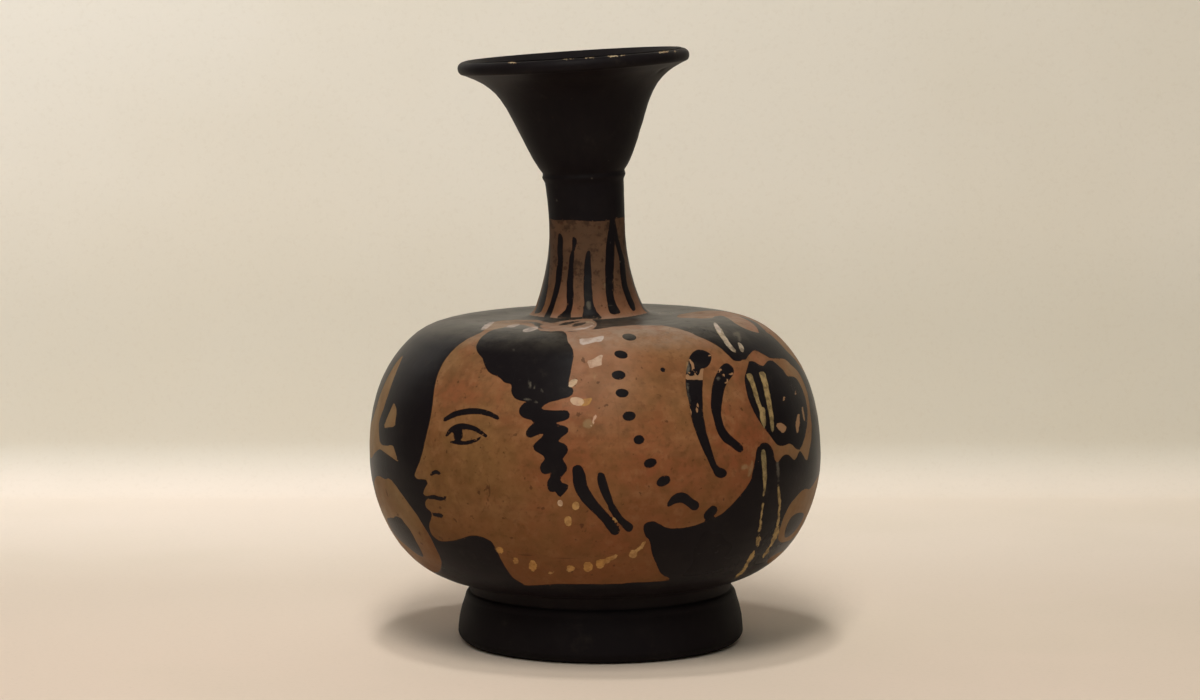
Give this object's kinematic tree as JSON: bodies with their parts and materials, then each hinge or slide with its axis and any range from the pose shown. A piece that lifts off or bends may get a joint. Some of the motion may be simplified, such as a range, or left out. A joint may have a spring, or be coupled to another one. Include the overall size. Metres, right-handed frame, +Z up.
{
  "type": "squat lekythos",
  "caption": "Small hollow fired-clay oil vessel with a ring foot, low swelling body, narrow neck, flaring mouth and a strap handle at the back.",
  "frame": {"origin": "axis of the belly at the plane the foot stands on", "axes": "+Z up, -Y the painted front, +Y the handle, +X to the right seen from the front"},
  "size_m": [0.0956, 0.0956, 0.1257],
  "materials": {
    "fired_clay": "semi-gloss black slip over reddish clay"
  },
  "bodies": {
    "root": {"squat_lekythos": "fired_clay"}
  },
  "joints": []
}
